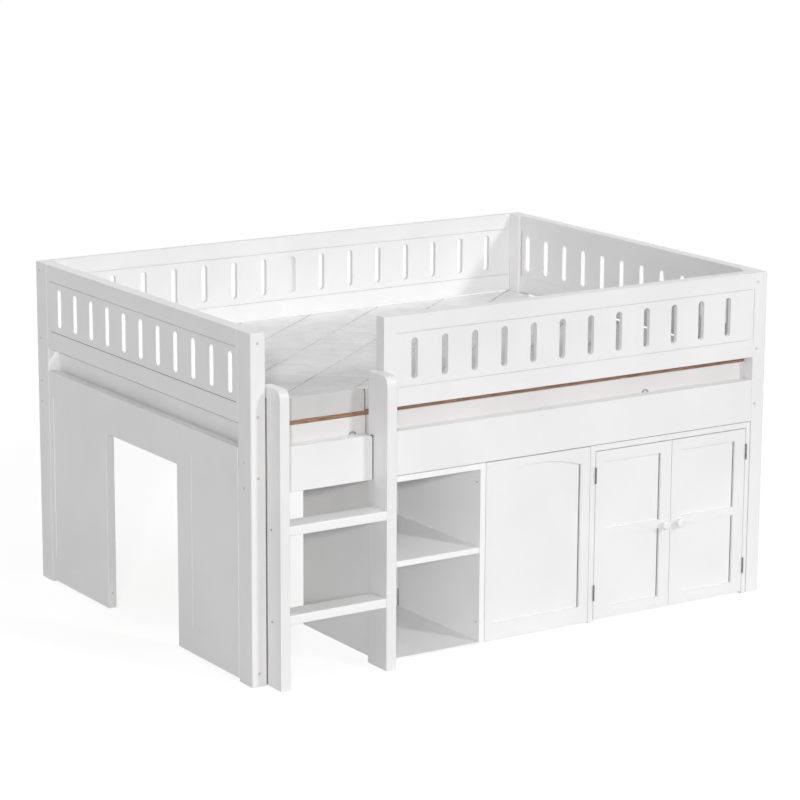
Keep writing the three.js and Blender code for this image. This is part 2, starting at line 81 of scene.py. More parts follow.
def bedBox(nodeName):
    # the low and high corners of a solid, in mm
    return [inBed(corner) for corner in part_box(nodeName)]


def bodyOf(nodeName):
    return nodes[nodeName]["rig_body"]


# The camera stands far off at the left of the bed's front, higher than its guards, behind a
# long lens. Its place is in mm, its angles in degrees, and it sees as far as reach, in metres.
camera = {"x": -4314.5, "y": -7496.4, "z": 2884.3, "azimuth": -32.904, "elevation": 12.848,
          "roll": 0.278, "lens": 132.34, "sensor": 36.0, "reach": 200.0}


def outwardFrom(azimuth, elevation):
    # azimuth 0 lies in front of the bed, and a positive one to the right
    level = math.cos(elevation)
    return Vector((math.sin(azimuth) * level, -math.cos(azimuth) * level, math.sin(elevation)))


def makeCamera(s):
    azimuth, elevation, roll = (math.radians(s[k]) for k in ("azimuth", "elevation", "roll"))
    back = outwardFrom(azimuth, elevation)
    right = Vector((math.cos(azimuth), math.sin(azimuth), 0))
    up = back.cross(right)
    sideways = right * math.cos(roll) + up * math.sin(roll)
    upright = up * math.cos(roll) - right * math.sin(roll)
    data = bpy.data.cameras.new("camera")
    data.lens = s["lens"]
    data.sensor_width = s["sensor"]
    data.clip_end = s["reach"]
    cam = bpy.data.objects.new("camera", data)
    turn = Matrix((sideways, upright, back)).transposed().to_4x4()
    cam.matrix_world = Matrix.Translation(at(s["x"], s["y"], s["z"])) @ turn
    bpy.context.scene.collection.objects.link(cam)
    bpy.context.scene.camera = cam


makeCamera(camera)


def linear(hexColour):
    # sRGB hex to the linear values that the shader takes
    parts = [int(hexColour[i:i + 2], 16) / 255 for i in (1, 3, 5)]
    return [p / 12.92 if p <= 0.04045 else ((p + 0.055) / 1.055) ** 2.4 for p in parts] + [1.0]


def addNode(tree, kind, settings=None, links=None, stops=()):
    # settings name an attribute or an input, and stops are a ramp's two places and colours
    node = tree.nodes.new("ShaderNode" + kind)
    for key, value in (settings or {}).items():
        if isinstance(key, str) and hasattr(node, key):
            setattr(node, key, value)
        else:
            node.inputs[key].default_value = value
    for key, source in (links or {}).items():
        tree.links.new(source, node.inputs[key])
    for i, (position, hexColour) in enumerate(stops):
        node.color_ramp.elements[i].position = position
        node.color_ramp.elements[i].color = linear(hexColour)
    return node


def makeMaterial(name, recipe, *settings):
    # a recipe adds its nodes to the tree and hands back the last, which is a shader
    material = bpy.data.materials.new(name)
    material.use_nodes = True
    tree = material.node_tree
    tree.nodes.clear()
    place = addNode(tree, "TexCoord").outputs["Object"]
    shader = recipe(tree, place, *settings)
    addNode(tree, "OutputMaterial", links={"Surface": shader.outputs[0]})
    return material


waveBands = 3.18  # the bands that a wave texture draws in one metre at a scale of 1


def perMetre(millimetres):
    # how many features of this size fit in one metre
    return 1000 / millimetres


def stretchedAlong(axis, stretch):
    # the scale of a pattern that is drawn out along the grain
    scale = [1.0, 1.0, 1.0]
    scale[axis] = 1 / stretch
    return scale


# White satin lacquer, sprayed on sanded birch and board. A sprayed coat shows a soft
# sheen with shallow orange peel, and on solid wood the grain reads faintly through it.
# The sizes and depths of all the patterns below are in mm.
lacquer = {"light": "#f2f1f1", "shade": "#ececed", "cloud": 260.0, "peel": 4.0, "peelDepth": 0.03,
           "grain": 2.6, "grainDepth": 0.05, "stretch": 22.0, "rough": (0.38, 0.50), "glow": 0.0}

# the front rail stands behind the apron, and its lacquer is painted greyer, as painted shade; the
# retainers' is painted darker still, as painted shade
railLacquerPaintedShade = dict(lacquer, light="#e5e3e2", shade="#dedcdb")
retainerLacquerPaintedShade = dict(lacquer, light="#d2d0cf", shade="#cac8c7")
# the treads' lacquer is painted whiter, as painted light on them
treadLacquerPaintedLight = dict(lacquer, light="#f8f8f8", shade="#f4f4f4")
# the bookcase's boards are painted whiter than the sprayed wood, as painted light in its shaded inside
bookcaseLacquerPaintedLight = dict(lacquer, light="#f9f9f9", shade="#f4f4f5")
# the walls of the end guards' slots are painted pure white and made to glow, as painted light for the
# light that would come through them from the inside
slotLacquerPaintedGlow = dict(lacquer, light="#ffffff", shade="#fcfcfc", glow=0.12)


def lacquered(tree, place, grainAxis, s):
    cloud = addNode(tree, "TexNoise", {"Scale": perMetre(s["cloud"]), "Detail": 3.0},
                    {"Vector": place})
    colour = addNode(tree, "ValToRGB", links={"Fac": cloud.outputs["Fac"]},
                     stops=[(0.35, s["light"]), (0.72, s["shade"])])
    peel = addNode(tree, "TexNoise", {"Scale": perMetre(s["peel"]), "Detail": 1.0},
                   {"Vector": place})
    sheen = addNode(tree, "MapRange", {"To Min": s["rough"][0], "To Max": s["rough"][1]},
                    {"Value": peel.outputs["Fac"]})
    # Distance is in metres
    bump = addNode(tree, "Bump", {"Strength": 0.6, "Distance": s["peelDepth"] / 1000},
                   {"Height": peel.outputs["Fac"]})
    if grainAxis is not None:
        along = addNode(tree, "Mapping", {"Scale": stretchedAlong(grainAxis, s["stretch"])},
                        {"Vector": place})
        grain = addNode(tree, "TexNoise",
                        {"Scale": perMetre(s["grain"]), "Detail": 4.0, "Roughness": 0.65},
                        {"Vector": along.outputs["Vector"]})
        bump = addNode(tree, "Bump", {"Strength": 0.5, "Distance": s["grainDepth"] / 1000},
                       {"Height": grain.outputs["Fac"], "Normal": bump.outputs["Normal"]})
    # the emission is a painted glow; it is zero except on the slot walls
    return addNode(tree, "BsdfPrincipled", {"IOR": 1.5, "Emission Strength": s["glow"]},
                   {"Base Color": colour.outputs["Color"], "Roughness": sheen.outputs["Result"],
                    "Normal": bump.outputs["Normal"], "Emission Color": colour.outputs["Color"]})


# Planed pine slats: pale sapwood with darker bands where the late wood is cut, a fine fibre,
# and a small knot here and there.
pine = {"pale": "#eee3cd", "late": "#dcc8a2", "ring": 9.0, "stretch": 14.0, "wander": 2.4,
        "fibre": 1.6, "fibreDepth": 0.08, "knot": 190.0, "knotColour": "#b08a5c", "rough": 0.62}


def planed(tree, place, grainAxis, s):
    # turned a little, since a plank is never sawn quite along its grain
    along = addNode(tree, "Mapping",
                    {"Scale": stretchedAlong(grainAxis, s["stretch"]), "Rotation": (0.05, 0.04, 0.03)},
                    {"Vector": place})
    rings = addNode(tree, "TexWave",
                    {"wave_type": "BANDS", "bands_direction": "DIAGONAL", "Detail": 3.0,
                     "Detail Scale": 1.4, "Scale": perMetre(s["ring"]) / waveBands,
                     "Distortion": s["wander"]},
                    {"Vector": along.outputs["Vector"]})
    fibre = addNode(tree, "TexNoise", {"Scale": perMetre(s["fibre"]), "Detail": 3.0},
                    {"Vector": along.outputs["Vector"]})
    wood = addNode(tree, "ValToRGB", links={"Fac": rings.outputs["Fac"]},
                   stops=[(0.25, s["pale"]), (0.95, s["late"])])
    knots = addNode(tree, "TexVoronoi", {"Scale": perMetre(s["knot"]), "Randomness": 1.0},
                    {"Vector": place})
    knotMask = addNode(tree, "MapRange",
                       {"From Min": 0.03, "From Max": 0.07, "To Min": 1.0, "To Max": 0.0},
                       {"Value": knots.outputs["Distance"]})
    mix = addNode(tree, "Mix", {"data_type": "RGBA", 7: linear(s["knotColour"])},
                  {0: knotMask.outputs["Result"], 6: wood.outputs["Color"]})
    bump = addNode(tree, "Bump", {"Strength": 0.5, "Distance": s["fibreDepth"] / 1000},
                   {"Height": fibre.outputs["Fac"]})
    return addNode(tree, "BsdfPrincipled", {"IOR": 1.5, "Roughness": s["rough"]},
                   {"Base Color": mix.outputs[2], "Normal": bump.outputs["Normal"]})


# Stained beech batten: open brown stain wiped on, so short dark rays show in a reddish ground.
stain = {"light": "#b08a72", "dark": "#74503f", "ray": 3.0, "stretch": 12.0, "rough": 0.55,
         "depth": 0.06}


def stained(tree, place, grainAxis, s):
    along = addNode(tree, "Mapping", {"Scale": stretchedAlong(grainAxis, s["stretch"])},
                    {"Vector": place})
    rays = addNode(tree, "TexNoise",
                   {"Scale": perMetre(s["ray"]), "Detail": 5.0, "Roughness": 0.6},
                   {"Vector": along.outputs["Vector"]})
    colour = addNode(tree, "ValToRGB", links={"Fac": rays.outputs["Fac"]},
                     stops=[(0.36, s["light"]), (0.66, s["dark"])])
    bump = addNode(tree, "Bump", {"Strength": 0.5, "Distance": s["depth"] / 1000},
                   {"Height": rays.outputs["Fac"]})
    return addNode(tree, "BsdfPrincipled", {"IOR": 1.5, "Roughness": s["rough"]},
                   {"Base Color": colour.outputs["Color"], "Normal": bump.outputs["Normal"]})


# Metals and mouldings share one recipe: a colour that drifts a little, and a fine tooth in the
# surface. Bright zinc on pressed steel keeps a cloudy lustre; brushed steel hinges are darker,
# with a satin tooth; nickel on bolts is smooth, and their sockets are painted near black as
# painted shade in the recess; the tyres are moulded grey rubber with a dull skin, on hubs of
# white nylon. The tooth is drawn coarser than it is, so that it shows.
zinc = {"light": "#c9ccd0", "shade": "#a9adb2", "patch": 7.0, "tooth": 1.0, "depth": 0.02,
        "rough": (0.26, 0.42), "metal": 1.0}
brushedSteel = {"light": "#8c8985", "shade": "#6b6864", "patch": 5.0, "tooth": 0.8, "depth": 0.02,
                "rough": (0.30, 0.46), "metal": 1.0}
nickel = {"light": "#b9b5ad", "shade": "#9d998f", "patch": 4.0, "tooth": 0.8, "depth": 0.01,
          "rough": (0.22, 0.34), "metal": 1.0}
socketPaintedShade = {"light": "#38383a", "shade": "#28282a", "patch": 4.0, "tooth": 0.8, "depth": 0.02,
               "rough": (0.45, 0.6), "metal": 0.0}
rubber = {"light": "#4b4c4e", "shade": "#3a3b3d", "patch": 12.0, "tooth": 0.9, "depth": 0.05,
          "rough": (0.62, 0.8), "metal": 0.0}
nylon = {"light": "#e6e4df", "shade": "#d9d6d0", "patch": 15.0, "tooth": 1.2, "depth": 0.02,
         "rough": (0.40, 0.52), "metal": 0.0}


def fineGrained(tree, place, s):
    patch = addNode(tree, "TexNoise", {"Scale": perMetre(s["patch"]), "Detail": 3.0},
                    {"Vector": place})
    tooth = addNode(tree, "TexNoise", {"Scale": perMetre(s["tooth"]), "Detail": 2.0},
                    {"Vector": place})
    colour = addNode(tree, "ValToRGB", links={"Fac": patch.outputs["Fac"]},
                     stops=[(0.35, s["light"]), (0.7, s["shade"])])
    sheen = addNode(tree, "MapRange", {"To Min": s["rough"][0], "To Max": s["rough"][1]},
                    {"Value": patch.outputs["Fac"]})
    bump = addNode(tree, "Bump", {"Strength": 0.5, "Distance": s["depth"] / 1000},
                   {"Height": tooth.outputs["Fac"]})
    return addNode(tree, "BsdfPrincipled", {"Metallic": s["metal"]},
                   {"Base Color": colour.outputs["Color"], "Roughness": sheen.outputs["Result"],
                    "Normal": bump.outputs["Normal"]})


# Painted shadow: a dark grey-brown that stands in for the shade at the bottom of the joints.
jointShadowTone = {"light": "#837b74", "shade": "#6f6862", "patch": 30.0, "tooth": 1.2, "depth": 0.05,
           "rough": (0.8, 0.9), "metal": 0.0}

# Quilted polyester: a plain weave a third of a millimetre across, drawn coarser so that it shows,
# over wadding that leaves soft hollows. The cloth is matt, with a faint fuzz at grazing angles.
quiltCloth = {"light": "#f1f0f0", "shade": "#e6e5e6", "cloud": 60.0, "thread": 1.4,
              "threadDepth": 0.12, "crumple": 22.0, "crumpleDepth": 0.3, "rough": 0.88, "sheen": 0.25}
# the quilting cord is twisted from the same fibre, with a tighter and smoother surface
quiltCord = {"light": "#f4f3f2", "shade": "#dcdbdb", "cloud": 8.0, "thread": 0.8,
             "threadDepth": 0.1, "crumple": 3.0, "crumpleDepth": 0.05, "rough": 0.8, "sheen": 0.2}


def woven(tree, place, s):
    cloud = addNode(tree, "TexNoise", {"Scale": perMetre(s["cloud"]), "Detail": 4.0},
                    {"Vector": place})
    colour = addNode(tree, "ValToRGB", links={"Fac": cloud.outputs["Fac"]},
                     stops=[(0.35, s["light"]), (0.7, s["shade"])])
    bands = perMetre(s["thread"]) / waveBands  # one band on each thread
    warp, weft = (addNode(tree, "TexWave", {"bands_direction": way, "Scale": bands},
                          {"Vector": place}) for way in "XY")
    weave = addNode(tree, "Math", {"operation": "MULTIPLY"},
                    {0: warp.outputs["Fac"], 1: weft.outputs["Fac"]})
    crumple = addNode(tree, "TexNoise", {"Scale": perMetre(s["crumple"]), "Detail": 2.0},
                      {"Vector": place})
    bump = addNode(tree, "Bump", {"Strength": 0.5, "Distance": s["crumpleDepth"] / 1000},
                   {"Height": crumple.outputs["Fac"]})
    bump = addNode(tree, "Bump", {"Strength": 0.6, "Distance": s["threadDepth"] / 1000},
                   {"Height": weave.outputs[0], "Normal": bump.outputs["Normal"]})
    return addNode(tree, "BsdfPrincipled", {"IOR": 1.45, "Roughness": s["rough"],
                   "Sheen Weight": s["sheen"], "Sheen Roughness": 0.5},
                   {"Base Color": colour.outputs["Color"], "Normal": bump.outputs["Normal"]})


lacquerAlongX = makeMaterial("sprayedLacquerGrainAlongX", lacquered, 0, lacquer)
lacquerAlongY = makeMaterial("sprayedLacquerGrainAlongY", lacquered, 1, lacquer)
lacquerAlongZ = makeMaterial("sprayedLacquerGrainAlongZ", lacquered, 2, lacquer)
lacquerOnBoard = makeMaterial("sprayedLacquerOnBoard", lacquered, None, lacquer)
planedPine = makeMaterial("planedPine", planed, 1, pine)
planedPineBeam = makeMaterial("planedPineBeam", planed, 0, pine)
stainedBeech = makeMaterial("stainedBeech", stained, 0, stain)
zincPlated = makeMaterial("zincPlatedPressedSteel", fineGrained, zinc)
hingeSteel = makeMaterial("brushedHingeSteel", fineGrained, brushedSteel)
boltNickel = makeMaterial("nickelPlatedBolt", fineGrained, nickel)
socketShade = makeMaterial("boltSocketPaintedShade", fineGrained, socketPaintedShade)
mouldedRubber = makeMaterial("mouldedGreyRubber", fineGrained, rubber)
mouldedNylon = makeMaterial("mouldedWhiteNylon", fineGrained, nylon)
# lacquers darkened to paint the shade on the front rail and on the retainers
railPaintedShadeAlongX = makeMaterial("railLacquerPaintedShadeGrainAlongX", lacquered, 0, railLacquerPaintedShade)
retainerPaintedShadeAlongX = makeMaterial("retainerLacquerPaintedShadeGrainAlongX", lacquered, 0, retainerLacquerPaintedShade)
# whiter lacquer: painted light on the treads
treadPaintedLightAlongX = makeMaterial("treadLacquerPaintedLightGrainAlongX", lacquered, 0, treadLacquerPaintedLight)
# whiter lacquer: painted light on the bookcase, mostly for its inside
bookcasePaintedLightOnBoard = makeMaterial("bookcasePaintedLightLacquerOnBoard", lacquered, None, bookcaseLacquerPaintedLight)
# white lacquer that glows: painted light on the slot walls
slotPaintedGlow = makeMaterial("slotWallsPaintedGlowLacquer", lacquered, None, slotLacquerPaintedGlow)
# dark material: painted shadow in the joints and reveals
jointPaintedShadow = makeMaterial("paintedShadowInJoints", fineGrained, jointShadowTone)
quiltedPolyester = makeMaterial("wovenQuiltedPolyester", woven, quiltCloth)
polyesterThread = makeMaterial("twistedPolyesterThread", woven, quiltCord)
print("stage 2: materials ready")


weldDistance = 0.00001  # points nearer than this are one, in metres
faceSlack = 0.0001      # a point this near to a box's side lies on it, in metres


def finishMesh(bm, name, material, sharpAngle=35.0):
    mesh = bpy.data.meshes.new(name)
    bm.to_mesh(mesh)
    bm.free()
    for polygon in mesh.polygons:
        polygon.use_smooth = True
    mesh.set_sharp_from_angle(angle=math.radians(sharpAngle))
    mesh.materials.append(material)
    piece = bpy.data.objects.new(name, mesh)
    bpy.context.scene.collection.objects.link(piece)
    return piece


def weightNormals(piece):
    # keeps broad faces flat and lets only the narrow rounds shade softly
    modifier = piece.modifiers.new("weightedNormals", "WEIGHTED_NORMAL")
    modifier.keep_sharp = True


def faceReach(face, edge):
    # how far a face goes from one of its edges
    start = edge.verts[0].co
    along = (edge.verts[1].co - start).normalized()
    reach = 0.0
    for vertex in face.verts:
        offset = vertex.co - start
        reach = max(reach, (offset - along * offset.dot(along)).length)
    return reach


def cylinderInto(bm, centre, axis, radius, length, steps, taper=1.0):
    # taper is the share of the radius that is left at the far end
    turn = Vector((0, 0, 1)).rotation_difference(axis).to_matrix().to_4x4()
    bmesh.ops.create_cone(bm, cap_ends=True, cap_tris=False, segments=steps, radius1=radius / 1000,
                          radius2=radius * taper / 1000, depth=length / 1000,
                          matrix=Matrix.Translation(centre) @ turn)


def boxInto(bm, low, high):
    size = high - low
    place = Matrix.Translation((low + high) / 2) @ Matrix.Diagonal((size.x, size.y, size.z, 1))
    bmesh.ops.create_cube(bm, size=1.0, matrix=place)


def roundEdges(bm, edges, width, segments, clamped=False):
    bmesh.ops.bevel(bm, geom=edges, offset=width / 1000, offset_type="OFFSET", affect="EDGES",
                    segments=segments, profile=0.5, material=-1, clamp_overlap=clamped)


def cutAway(bm, place, outward, slack, inner=False):
    # clears what lies outside a plane, or inside it
    bmesh.ops.bisect_plane(bm, geom=bm.verts[:] + bm.edges[:] + bm.faces[:], dist=slack, plane_co=place,
                           plane_no=outward, clear_outer=not inner, clear_inner=inner)


def spinProfile(bm, points, axisPoint, axis, steps, closed=False):
    # an open profile starts and ends on the axis
    verts = [bm.verts.new(point) for point in points]
    loop = verts + verts[:1] if closed else verts
    edges = [bm.edges.new(pair) for pair in zip(loop, loop[1:])]
    bmesh.ops.spin(bm, geom=verts + edges, cent=axisPoint, axis=axis, angle=math.tau, steps=steps,
                   use_merge=True, use_duplicate=False)
    bmesh.ops.remove_doubles(bm, verts=bm.verts, dist=weldDistance)
    bmesh.ops.recalc_face_normals(bm, faces=bm.faces)


# Every board is eased at its edges, as a router and sanding leave it: mm and degrees. An edge
# is left sharp where a face beside it is narrower than room times the width.
easing = {"width": 1.8, "segments": 3, "foldAngle": 30.0, "flatAngle": 0.4, "weld": 0.02, "room": 2.2}
# the width where it isn't the usual one, by the first of these that is in the board's name
ownEase = {"post": 2.2, "ladder_stile": 2.4, "ladder_tread": 3.5, "left_guard": 3.0, "right_guard": 3.0,
           "guard": 1.8, "apron": 1.6, "batten": 1.5, "bookcase_back": 0.5, "cabinet_back": 0.5,
           "bookcase": 1.0, "cabinet": 1.0, "door": 0.8, "desk": 0.8, "fork": 0.6}


def easeFor(nodeName):
    for key, width in ownEase.items():
        if key in nodeName:
            return width
    return easing["width"]


def mergedCopy(nodeName, s):
    bm = bmesh.new()
    bm.from_mesh(nodes[nodeName].data)
    bmesh.ops.remove_doubles(bm, verts=bm.verts, dist=s["weld"] / 1000)
    bmesh.ops.dissolve_limit(bm, angle_limit=math.radians(s["flatAngle"]), verts=bm.verts,
                             edges=bm.edges, use_dissolve_boundaries=False, delimit=set())
    return bm


def easeEdges(bm, s, width):
    reachNeeded = width * s["room"] / 1000
    chosen = []
    for edge in bm.edges:
        if len(edge.link_faces) != 2 or edge.calc_face_angle(0.0) < math.radians(s["foldAngle"]):
            continue
        if min(faceReach(face, edge) for face in edge.link_faces) > reachNeeded:
            chosen.append(edge)
    roundEdges(bm, chosen, width, s["segments"], True)


# Where a board butts against its neighbour the joint shows as a hair gap: the axis, then the
# mm taken off the board's low and high ends.
jointGaps = {"front_guard": (0, 0.0, 1.0), "front_apron": (0, 0.0, 1.2), "left_guard": (1, 0.8, 0.8),
             "right_guard": (1, 0.8, 0.8), "back_guard": (0, 0.8, 0.8), "back_apron": (0, 0.8, 0.8),
             "left_end_panel": (1, 1.0, 1.0), "right_end_panel": (1, 1.0, 1.0),
             "cabinet_side_right": (0, 0.0, 2.0), "ladder_stile_left": (0, 2.6, 0.0)}


def openJoints(bm, nodeName):
    axis, lowTrim, highTrim = jointGaps[nodeName]
    low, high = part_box(nodeName)
    for vertex in bm.verts:
        if vertex.co[axis] < low[axis] + faceSlack:
            vertex.co[axis] += lowTrim / 1000
        elif vertex.co[axis] > high[axis] - faceSlack:
            vertex.co[axis] -= highTrim / 1000


# The sunk fields of the end panels hardly show, so their floors come up from where they are cut
# to the depth that is shown, in mm.
field = {"cut": 4.0, "shown": 1.6, "slack": 0.2}


def raiseFields(bm, nodeName, s):
    low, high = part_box(nodeName)
    face, inward = (low.x, 1) if "left" in nodeName else (high.x, -1)
    for vertex in bm.verts:
        if abs(vertex.co.x - (face + inward * s["cut"] / 1000)) < s["slack"] / 1000:
            vertex.co.x = face + inward * s["shown"] / 1000


def easedBoard(nodeName, material):
    bm = mergedCopy(nodeName, easing)
    if nodeName in jointGaps:
        openJoints(bm, nodeName)
    if nodeName.endswith("end_panel") and not nodeName.startswith("desk"):
        raiseFields(bm, nodeName, field)
    easeEdges(bm, easing, easeFor(nodeName))
    piece = finishMesh(bm, nodeName + "_finished", material)
    weightNormals(piece)
    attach(piece, bodyOf(nodeName))
    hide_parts(nodeName)
    return piece


# the white boards, by their coat and the way their grain runs
boards = [
    (lacquerAlongZ, ["post_front_left", "post_front_right", "post_back_left", "post_back_right",
                     "centre_leg_left", "centre_leg_right", "ladder_stile_left", "ladder_stile_right",
                     "back_guard_stile"]),
    (lacquerAlongX, ["back_rail", "front_apron", "ladder_bay_apron", "back_apron", "front_guard",
                     "back_guard"]),
    # lacquer with painted light: the treads
    (treadPaintedLightAlongX, ["ladder_tread_1", "ladder_tread_2"]),
    # lacquers with painted shade: the front rail, then the retainers
    (railPaintedShadeAlongX, ["front_rail"]),
    (retainerPaintedShadeAlongX, ["ladder_bay_retainer", "front_retainer"]),
    (lacquerAlongY, ["left_rail", "right_rail", "left_guard", "right_guard"]),
    # lacquer with painted light: the bookcase
    (bookcasePaintedLightOnBoard, ["bookcase_side_left", "bookcase_side_right", "bookcase_top",
                           "bookcase_shelf", "bookcase_floor", "bookcase_back"]),
    (lacquerOnBoard, ["left_end_panel", "right_end_panel", "cabinet_side_left", "cabinet_side_right",
                      "cabinet_top", "cabinet_floor", "cabinet_back", "left_door", "right_door",
                      "desk_end_panel", "desk_top", "desk_leg_panel", "desk_stretcher"])]
pieces = {}
for material, names in boards:
    for nodeName in names:
        pieces[nodeName] = easedBoard(nodeName, material)


# The walls of the slots lie this far inside the guard's edges, in mm, and turn away from its
# faces: facing is the most that their normals may point across the guard.
slotWalls = {"fromEnds": 24.0, "fromUnder": 66.0, "fromTop": 60.0, "facing": 0.8}


def paintGlowOnSlotWalls(nodeName, s):
    piece = pieces[nodeName]
    piece.data.materials.append(slotPaintedGlow)
    low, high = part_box(nodeName)
    ends, under, top = (s[k] / 1000 for k in ("fromEnds", "fromUnder", "fromTop"))
    # the slot walls take the glowing lacquer, painted light
    for polygon in piece.data.polygons:
        inside = low.y + ends < polygon.center.y < high.y - ends
        between = low.z + under < polygon.center.z < high.z - top
        if abs(polygon.normal.x) < s["facing"] and inside and between:
            polygon.material_index = 1


for nodeName in ("left_guard", "right_guard"):
    paintGlowOnSlotWalls(nodeName, slotWalls)
print("stage 3: boards eased")


# The slats, spread evenly from end to end of the deck, and the beam under them; mm.
slats = {"count": 16, "width": 90.0, "thickness": 14.0, "ease": 2.5, "segments": 3}


def easeAll(bm, s):
    roundEdges(bm, list(bm.edges), s["ease"], s["segments"], True)


def makeSlats(s):
    low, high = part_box("slat_deck")
    pitch = (high.x - low.x - s["width"] / 1000) / (s["count"] - 1)
    under = high.z - s["thickness"] / 1000
    bm = bmesh.new()
    for i in range(s["count"]):
        left = low.x + i * pitch
        boxInto(bm, Vector((left, low.y, under)), Vector((left + s["width"] / 1000, high.y, high.z)))
    easeAll(bm, s)
    piece = finishMesh(bm, "slats", planedPine)
    weightNormals(piece)
    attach(piece, "bed_frame")
    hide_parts("slat_deck")


def makeBeam(s):
    # as wide as the legs that it stands on
    low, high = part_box("slat_deck")
    legLow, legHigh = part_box("centre_leg_left")
    middle = (legLow.y + legHigh.y) / 2
    half = (legHigh.y - legLow.y) / 2
    under = high.z - s["thickness"] / 1000
    bm = bmesh.new()
    boxInto(bm, Vector((low.x, middle - half, low.z)), Vector((high.x, middle + half, under)))
    easeAll(bm, s)
    piece = finishMesh(bm, "centre_beam", planedPineBeam)
    weightNormals(piece)
    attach(piece, "bed_frame")


makeSlats(slats)
makeBeam(slats)
easedBoard("front_slat_batten", stainedBeech)
print("stage 4: slats and batten laid")


# The quilted pad on the slats. Two families of seams cross in long diamonds, and reach is how
# many of them are laid on each side of the first; mm in the bed's own frame. Fine puckers run
# towards the seams, slanted by puckerSlant and crossed at puckerCross times their pitch.
quilt = {"slope": 0.8125, "risingStart": 320.0, "fallingStart": 1690.0, "spacing": 232.5, "reach": 9,
         "steps": 18, "crowding": 0.82, "corner": 25.0, "seamDepth": 6.3, "fallingDepth": 2.2,
         "seamWidth": 3.4, "puff": 1.2, "puffReach": 26.0, "edgeRoll": 7.0, "edgeDrop": 1.2,
         "pucker": 0.35, "puckerPitch": 21.0, "puckerReach": 14.0, "puckerSlant": (0.7, -1.3),
         "puckerCross": 1.7, "weld": 0.2, "sharpAngle": 50.0, "fill": 0.5}
# The stitches are drawn longer and thicker than sewn ones, so that they show. The rising seams
# are quilted with a cord, which stands out of its groove.
stitch = {"length": 29.0, "pitch": 37.0, "sides": 8, "taper": 0.35, "margin": 8.0,
          "rising": {"thread": 3.3, "lift": 5.4}, "falling": {"thread": 0.8, "lift": 0.6}}


def crowded(t, amount):
    # moves grid lines towards the seams, which lie on whole numbers
    return t - amount * math.sin(math.tau * t) / math.tau


def quiltPlace(rising, falling, s):
    # where a rising and a falling line cross, in mm
    low = s["risingStart"] + rising * s["spacing"]
    high = s["fallingStart"] + falling * s["spacing"]
    return (high - low) / (2 * s["slope"]), (high + low) / 2


def quiltDistance(x, y, s):
    # how far a point is from the nearest rising and falling seams, in mm across them
    square = math.hypot(1, s["slope"])
    away = []
    for sign, start in ((-1, s["risingStart"]), (1, s["fallingStart"])):
        share = (y + sign * s["slope"] * x - start) / s["spacing"]
        away.append(abs(share - round(share)) * s["spacing"] / square)
    return away


def padHeight(x, y, edge, s, thickness):
    # the pad's top over its underside, in mm, from the seams and the distance to its edge
    rising, falling = quiltDistance(x, y, s)
    near = min(rising, falling)
    height = thickness - s["puff"] * math.exp(-near / s["puffReach"])
    risingCut = (s["seamDepth"] - s["puff"]) * math.exp(-(rising / s["seamWidth"]) ** 2)
    fallingCut = (s["fallingDepth"] - s["puff"]) * math.exp(-(falling / s["seamWidth"]) ** 2)
    height -= max(risingCut, fallingCut)
    first, second = s["puckerSlant"]
    crease = math.sin((x + first * y) / s["puckerPitch"])
    crease *= math.sin((x + second * y) / s["puckerPitch"] * s["puckerCross"])
    height += s["pucker"] * crease * math.exp(-near / s["puckerReach"]) - s["pucker"]
    if edge < s["edgeRoll"]:
        height -= s["edgeDrop"] * (1 - math.sqrt(1 - (1 - edge / s["edgeRoll"]) ** 2))
    return height


def fromCorner(x, y, low, high, radius):
    # the nearest middle of a rounded corner or of its sides, and the way from there
    cx = min(max(x, low.x + radius), high.x - radius)
    cy = min(max(y, low.y + radius), high.y - radius)
    return cx, cy, Vector((x - cx, y - cy))


def roundCorner(x, y, low, high, radius):
    # draws a point outside the pad's rounded corners in to them
    cx, cy, out = fromCorner(x, y, low, high, radius)
    if out.length > radius:
        out = out.normalized() * radius
    return cx + out.x, cy + out.y


def edgeDistance(x, y, low, high, radius):
    cx, cy, out = fromCorner(x, y, low, high, radius)
    inside = min(x - low.x, high.x - x, y - low.y, high.y - y)
    return min(inside, radius - out.length) if x != cx and y != cy else inside


def closeUnderneath(bm, level):
    # drops a wall from the open rim to the level, and closes it
    rim = [e for e in bm.edges if len(e.link_faces) == 1]
    wall = bmesh.ops.extrude_edge_only(bm, edges=rim)["geom"]
    for vertex in wall:
        if isinstance(vertex, bmesh.types.BMVert):
            vertex.co.z = level
    bmesh.ops.holes_fill(bm, edges=[e for e in wall if isinstance(e, bmesh.types.BMEdge)], sides=0)
    bmesh.ops.recalc_face_normals(bm, faces=bm.faces)


